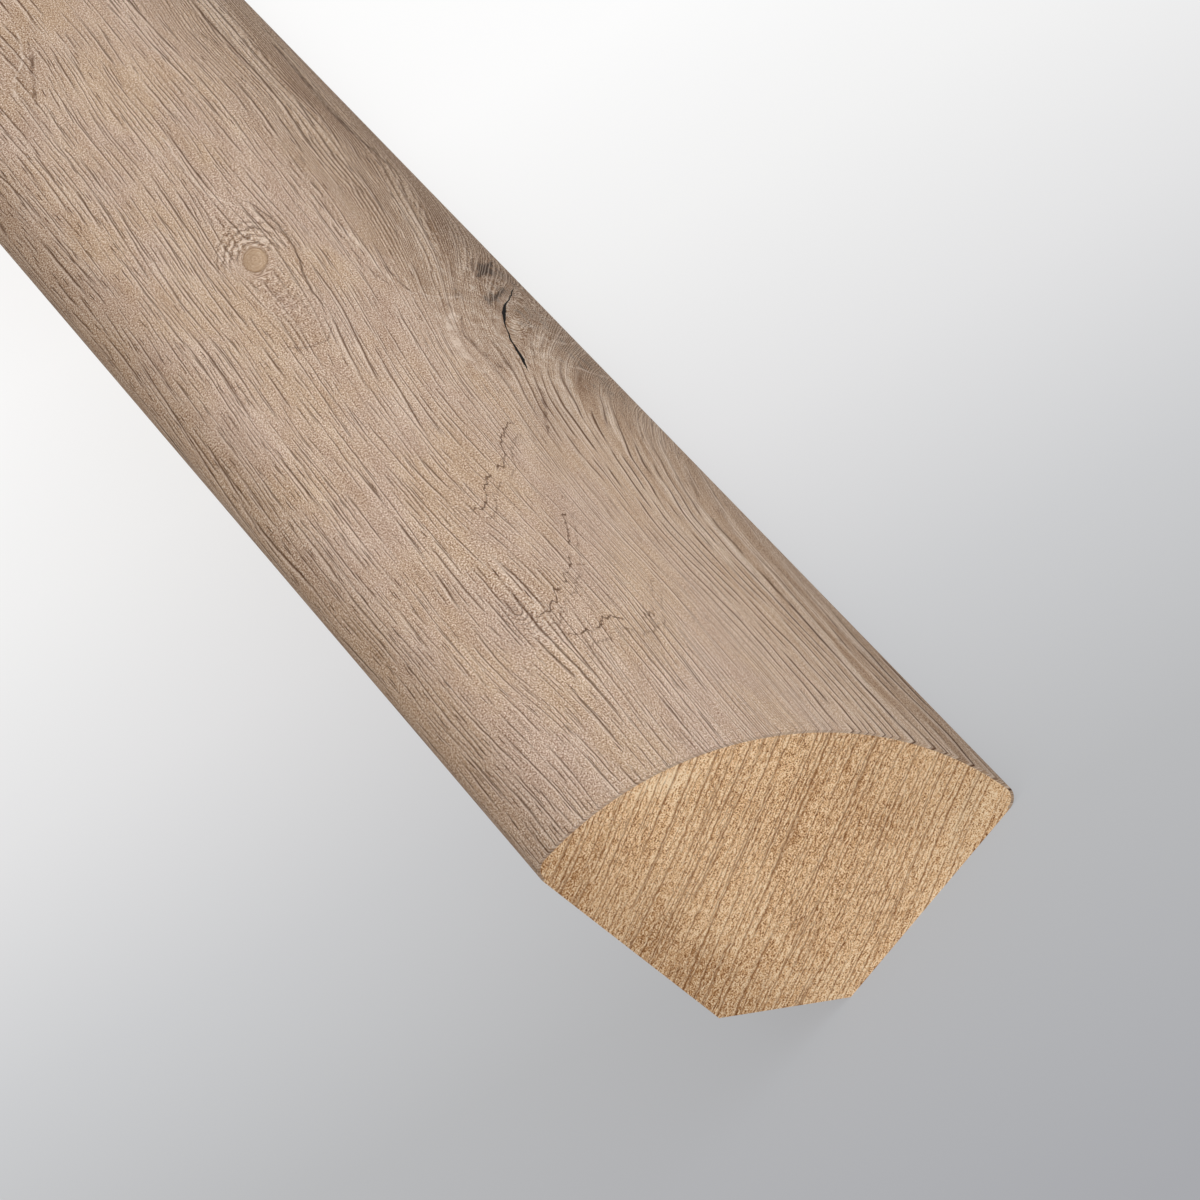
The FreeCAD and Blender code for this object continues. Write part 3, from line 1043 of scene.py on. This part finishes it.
bpy.ops.object.select_all(action="DESELECT")
bpy.ops.mesh.primitive_plane_add(size=FLOOR_SIZE, location=(0, 0, floor_z - TINY))
floor = bpy.context.object
floor.name = "studio_floor"
floor.data.materials.append(pale_floor())
print(floor.name, FLOOR_SIZE, "m wide")

# %% The light
SKY_LEVEL = 0.62
SUN_LEVEL = 0.38
SUN_FROM = Vector((0.30, -0.55, 0.78))
SUN_SOFTNESS = math.radians(90)

world = bpy.data.worlds.new("studio sky")
world.use_nodes = True
world.node_tree.nodes["Background"].inputs["Color"].default_value = (1, 1, 1, 1)
world.node_tree.nodes["Background"].inputs["Strength"].default_value = SKY_LEVEL
bpy.context.scene.world = world

bpy.ops.object.light_add(type="SUN", location=(1, -2, 3))
sun = bpy.context.object
sun.name = "soft_sun"
sun.data.energy = SUN_LEVEL * math.pi / SUN_FROM.normalized().z
sun.data.angle = SUN_SOFTNESS
sun.rotation_euler = SUN_FROM.to_track_quat("Z", "Y").to_euler()
print(f"sky {SKY_LEVEL}, sun {sun.data.energy:.2f}")

# %% [markdown]
# The camera looks down on the near end through a long lens and is rolled to one side, so the stock
# runs out of the picture's top left corner. It is placed by the spot that it looks at, how far off
# it stands and three angles.

# %% The camera
LOOK_AT = Vector((0.002261, -1.170388, 0.015009))
DISTANCE = 0.6628
AZIMUTH = math.radians(3.874)
ELEVATION = math.radians(25.281)
ROLL = math.radians(-51.617)
FOCAL_WIDTHS = 10.2539
SENSOR = 36.0

turn = Matrix.Rotation(AZIMUTH, 3, "Z") @ Matrix.Rotation(QUARTER - ELEVATION, 3, "X")
bpy.ops.object.camera_add()
camera = bpy.context.object
camera.name = "studio_camera"
camera.data.sensor_width = SENSOR
camera.data.lens = FOCAL_WIDTHS * SENSOR
camera.data.clip_start, camera.data.clip_end = 0.01, 500
camera.location = LOOK_AT + turn @ Vector((0, 0, DISTANCE))
camera.rotation_euler = (turn @ Matrix.Rotation(ROLL, 3, "Z")).to_euler()
bpy.context.scene.camera = camera
bpy.context.scene.view_settings.view_transform = "Standard"
print("camera at", [round(side, 3) for side in camera.location])
